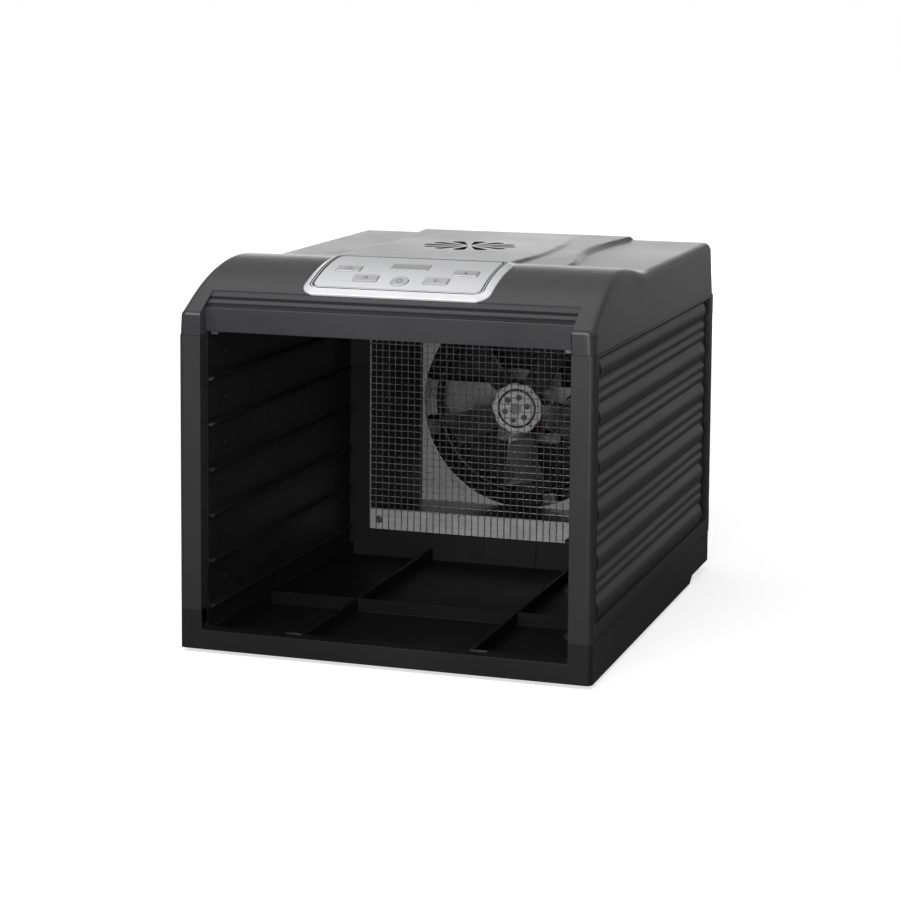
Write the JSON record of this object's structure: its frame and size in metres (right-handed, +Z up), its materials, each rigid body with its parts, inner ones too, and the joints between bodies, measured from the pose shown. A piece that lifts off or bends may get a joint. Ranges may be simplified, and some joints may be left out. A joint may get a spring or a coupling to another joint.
{
  "type": "food dehydrator",
  "caption": "Front-loading food dehydrator: open moulded cabinet with tray ledges, rear fan behind a wire guard, rolled top cover with control panel, keys and round exhaust vent.",
  "frame": {"origin": "middle of the footprint, on the plane the feet stand on", "axes": "+X to the right seen from the front, +Y from the open front to the rear cover, +Z up"},
  "size_m": [0.345, 0.45, 0.3169],
  "materials": {
    "charcoal_plastic": "satin",
    "dark_lining": "matt",
    "bright_bezel": "satin silver paint",
    "face_film": "satin silver film",
    "button_plastic": "satin silver",
    "display_glass": "gloss, light grey",
    "galvanised_sheet": "satin",
    "guard_wire": "polished",
    "fan_sheet": "satin",
    "steel": "satin",
    "dark_steel": "satin",
    "laminations": "satin",
    "copper_coil": "enamelled",
    "bearing_bronze": "satin",
    "heater_sheath": "oxidised",
    "ceramic_white": "matt",
    "circuit_board": "satin",
    "board_parts": "matt",
    "foot_rubber": "matt"
  },
  "bodies": {
    "housing": {"base_tray": "charcoal_plastic", "feet": "foot_rubber", "right_side_panel": "charcoal_plastic", "left_side_panel": "charcoal_plastic", "right_tray_rack": "dark_lining", "left_tray_rack": "dark_lining", "bulkhead": "dark_lining", "air_hood": "galvanised_sheet", "fan_plate": "galvanised_sheet", "wire_guard": "guard_wire", "guard_screws": "steel", "motor_strap": "galvanised_sheet", "motor_front_bracket": "galvanised_sheet", "motor_rear_bracket": "galvanised_sheet", "motor_stator": "laminations", "motor_coil": "copper_coil", "front_bearing": "bearing_bronze", "rear_bearing": "bearing_bronze", "motor_screws": "steel", "strap_screws": "steel", "heater_ring": "heater_sheath", "heater_clips": "ceramic_white", "temperature_probe": "steel", "thermal_cutout": "dark_steel", "top_cover": "charcoal_plastic", "ceiling_liner": "dark_lining", "control_bezel": "bright_bezel", "control_faceplate": "face_film", "display_window": "display_glass", "display_module": "board_parts", "control_board": "circuit_board", "button_switches": "board_parts", "board_screws": "steel", "power_board": "circuit_board", "power_parts": "board_parts", "rear_cover": "charcoal_plastic", "rear_cover_screws": "steel", "cord_gland": "foot_rubber", "door_magnets": "dark_steel", "sill_catches": "steel", "rack_screws": "steel", "cover_screws": "steel"},
    "fan": {"fan_hub": "fan_sheet", "fan_blades": "fan_sheet", "fan_rivets": "steel", "fan_nut": "steel", "motor_shaft": "steel", "motor_rotor": "laminations"},
    "timer_button_body": {"timer_button": "button_plastic"},
    "fan_button_body": {"fan_button": "button_plastic"},
    "light_button_body": {"light_button": "button_plastic"},
    "temperature_button_body": {"temperature_button": "button_plastic"},
    "start_button_body": {"start_button": "button_plastic"}
  },
  "joints": [
    {"name": "fan_spin", "type": "hinge", "parent": "housing", "child": "fan", "pos_m": [0, 0.149, 0.15], "axis": [0, 1, 0], "continuous": true},
    {"name": "timer_button_press", "type": "slide", "parent": "housing", "child": "timer_button_body", "axis": [0, 0.2593, -0.9658], "range_m": [0, 0.0008], "stiffness_N_per_m": 1500, "springref_m": -0.0004},
    {"name": "fan_button_press", "type": "slide", "parent": "housing", "child": "fan_button_body", "axis": [0, 0.2593, -0.9658], "range_m": [0, 0.0008], "stiffness_N_per_m": 1500, "springref_m": -0.0004},
    {"name": "light_button_press", "type": "slide", "parent": "housing", "child": "light_button_body", "axis": [0, 0.2593, -0.9658], "range_m": [0, 0.0008], "stiffness_N_per_m": 1500, "springref_m": -0.0004},
    {"name": "temperature_button_press", "type": "slide", "parent": "housing", "child": "temperature_button_body", "axis": [0, 0.2593, -0.9658], "range_m": [0, 0.0008], "stiffness_N_per_m": 1500, "springref_m": -0.0004},
    {"name": "start_button_press", "type": "slide", "parent": "housing", "child": "start_button_body", "axis": [0, 0.2593, -0.9658], "range_m": [0, 0.0008], "stiffness_N_per_m": 1500, "springref_m": -0.0004}
  ]
}
